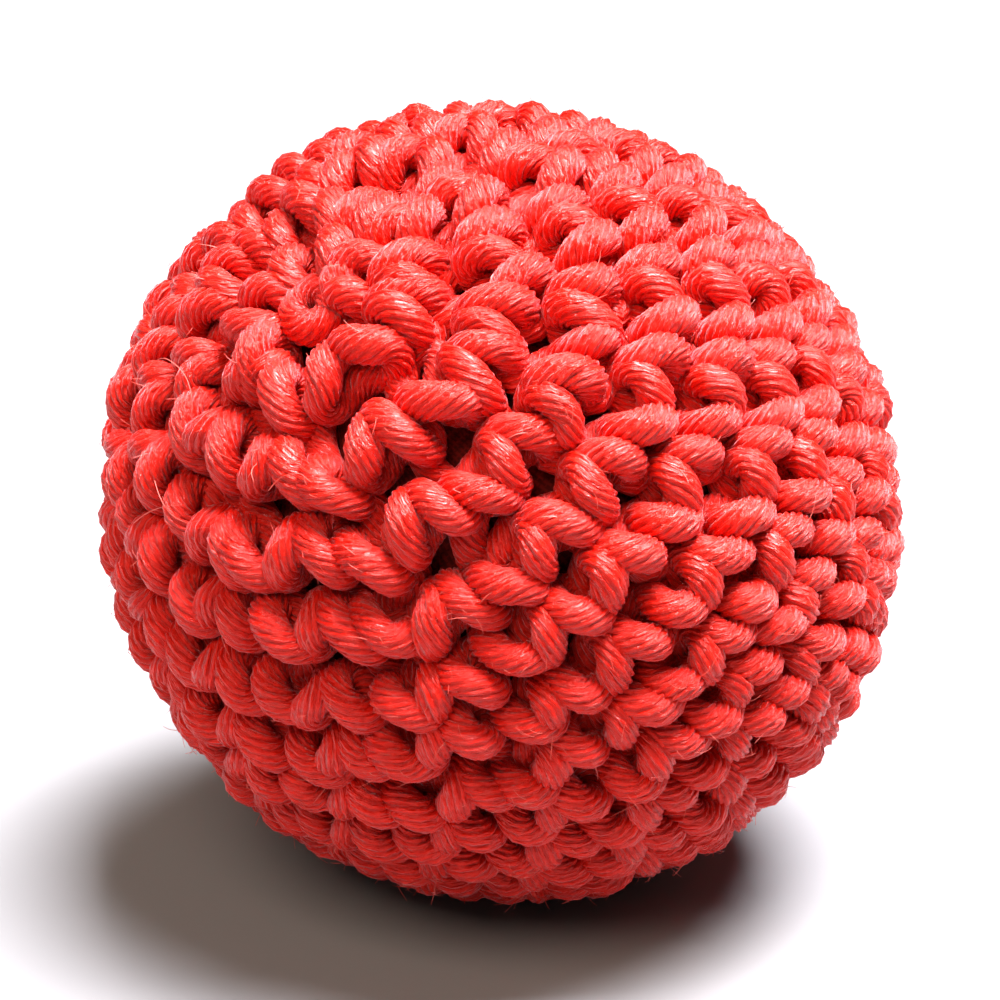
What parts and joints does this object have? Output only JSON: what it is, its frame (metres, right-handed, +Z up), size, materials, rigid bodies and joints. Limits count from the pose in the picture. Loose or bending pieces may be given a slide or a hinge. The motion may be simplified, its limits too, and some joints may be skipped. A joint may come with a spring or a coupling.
{
  "type": "juggling ball",
  "caption": "Round crocheted juggling ball: spiral rounds of thick yarn stitches over a tied cloth liner filled with pellets, with a small flattened patch it rests on.",
  "frame": {"origin": "middle of the flattened patch that the ball rests on", "axes": "+Z up as the ball rests; the crochet's start pole leans up, to the front (-Y) and to the left (-X)"},
  "size_m": [0.065, 0.065, 0.0637],
  "materials": {
    "coral_yarn": "matte soft-spun yarn with a slight sheen",
    "liner_cloth": "thin plain-woven cotton, deep red",
    "tie_thread": "waxed cotton thread",
    "pellets": "natural plastic pellets"
  },
  "bodies": {
    "root": {"cover_round_01": "coral_yarn", "cover_round_02": "coral_yarn", "cover_round_03": "coral_yarn", "cover_round_04": "coral_yarn", "cover_round_05": "coral_yarn", "cover_round_06": "coral_yarn", "cover_round_07": "coral_yarn", "cover_round_08": "coral_yarn", "cover_round_09": "coral_yarn", "cover_round_10": "coral_yarn", "cover_round_11": "coral_yarn", "cover_round_12": "coral_yarn", "cover_round_13": "coral_yarn", "cover_round_14": "coral_yarn", "cover_round_15": "coral_yarn", "cover_round_16": "coral_yarn", "cover_round_17": "coral_yarn", "start_ring": "coral_yarn", "closing_ring": "coral_yarn", "start_tail": "coral_yarn", "finish_tail": "coral_yarn", "liner_bag": "liner_cloth", "liner_tie": "tie_thread", "filling_pellets": "pellets"}
  },
  "joints": []
}
